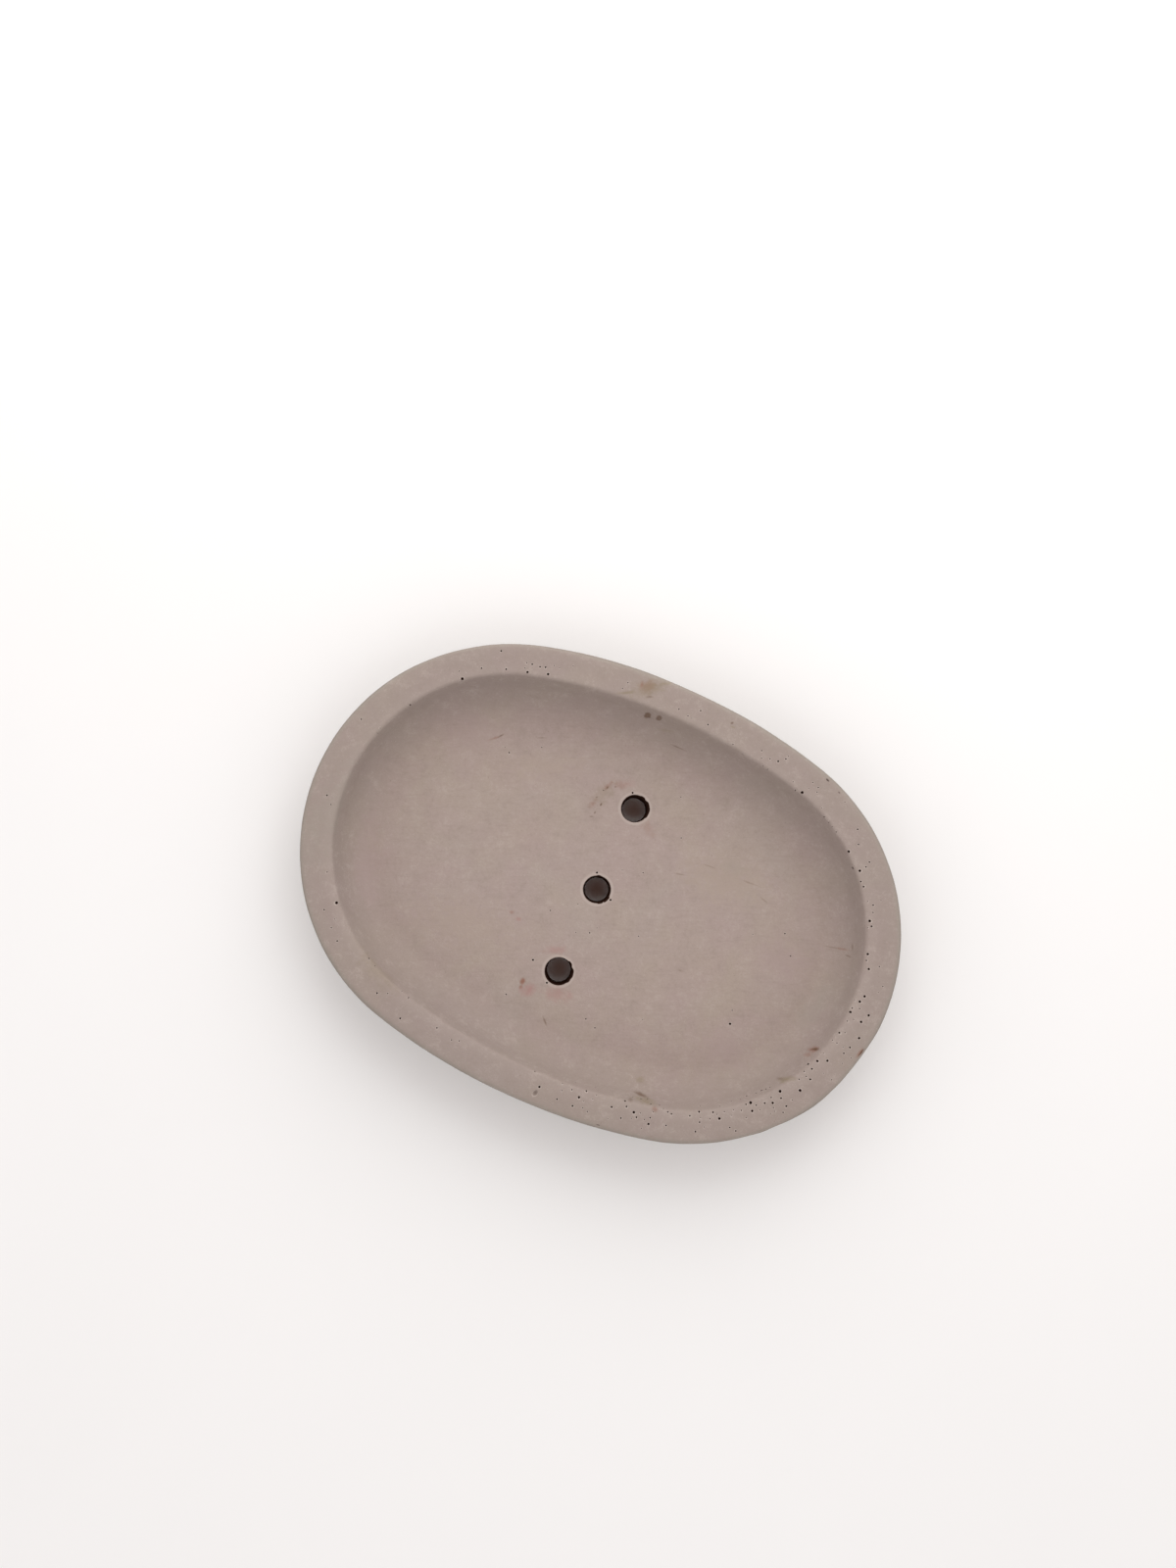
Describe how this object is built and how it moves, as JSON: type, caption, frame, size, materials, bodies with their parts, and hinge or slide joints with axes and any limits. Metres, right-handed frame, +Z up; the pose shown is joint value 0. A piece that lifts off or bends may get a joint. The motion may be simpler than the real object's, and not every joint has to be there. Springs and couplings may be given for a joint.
{
  "type": "soap dish",
  "caption": "Shallow oval cast-concrete soap dish with a rounded basin, a row of drain holes and stick-on feet.",
  "frame": {"origin": "on the surface that the feet rest on, under the middle of the dish", "axes": "+X along the length of the dish, +Y across it along the row of drain holes, +Z up"},
  "size_m": [0.1412, 0.1014, 0.0182],
  "materials": {
    "cast_concrete": "matt cast concrete, blush taupe, with pinholes and faint clouding",
    "foot_rubber": "milky soft silicone rubber",
    "adhesive": "pale acrylic adhesive"
  },
  "bodies": {
    "root": {"dish_body": "cast_concrete", "foot_front_left": "foot_rubber", "foot_front_right": "foot_rubber", "foot_rear_left": "foot_rubber", "foot_rear_right": "foot_rubber", "adhesive_front_left": "adhesive", "adhesive_front_right": "adhesive", "adhesive_rear_left": "adhesive", "adhesive_rear_right": "adhesive"}
  },
  "joints": []
}
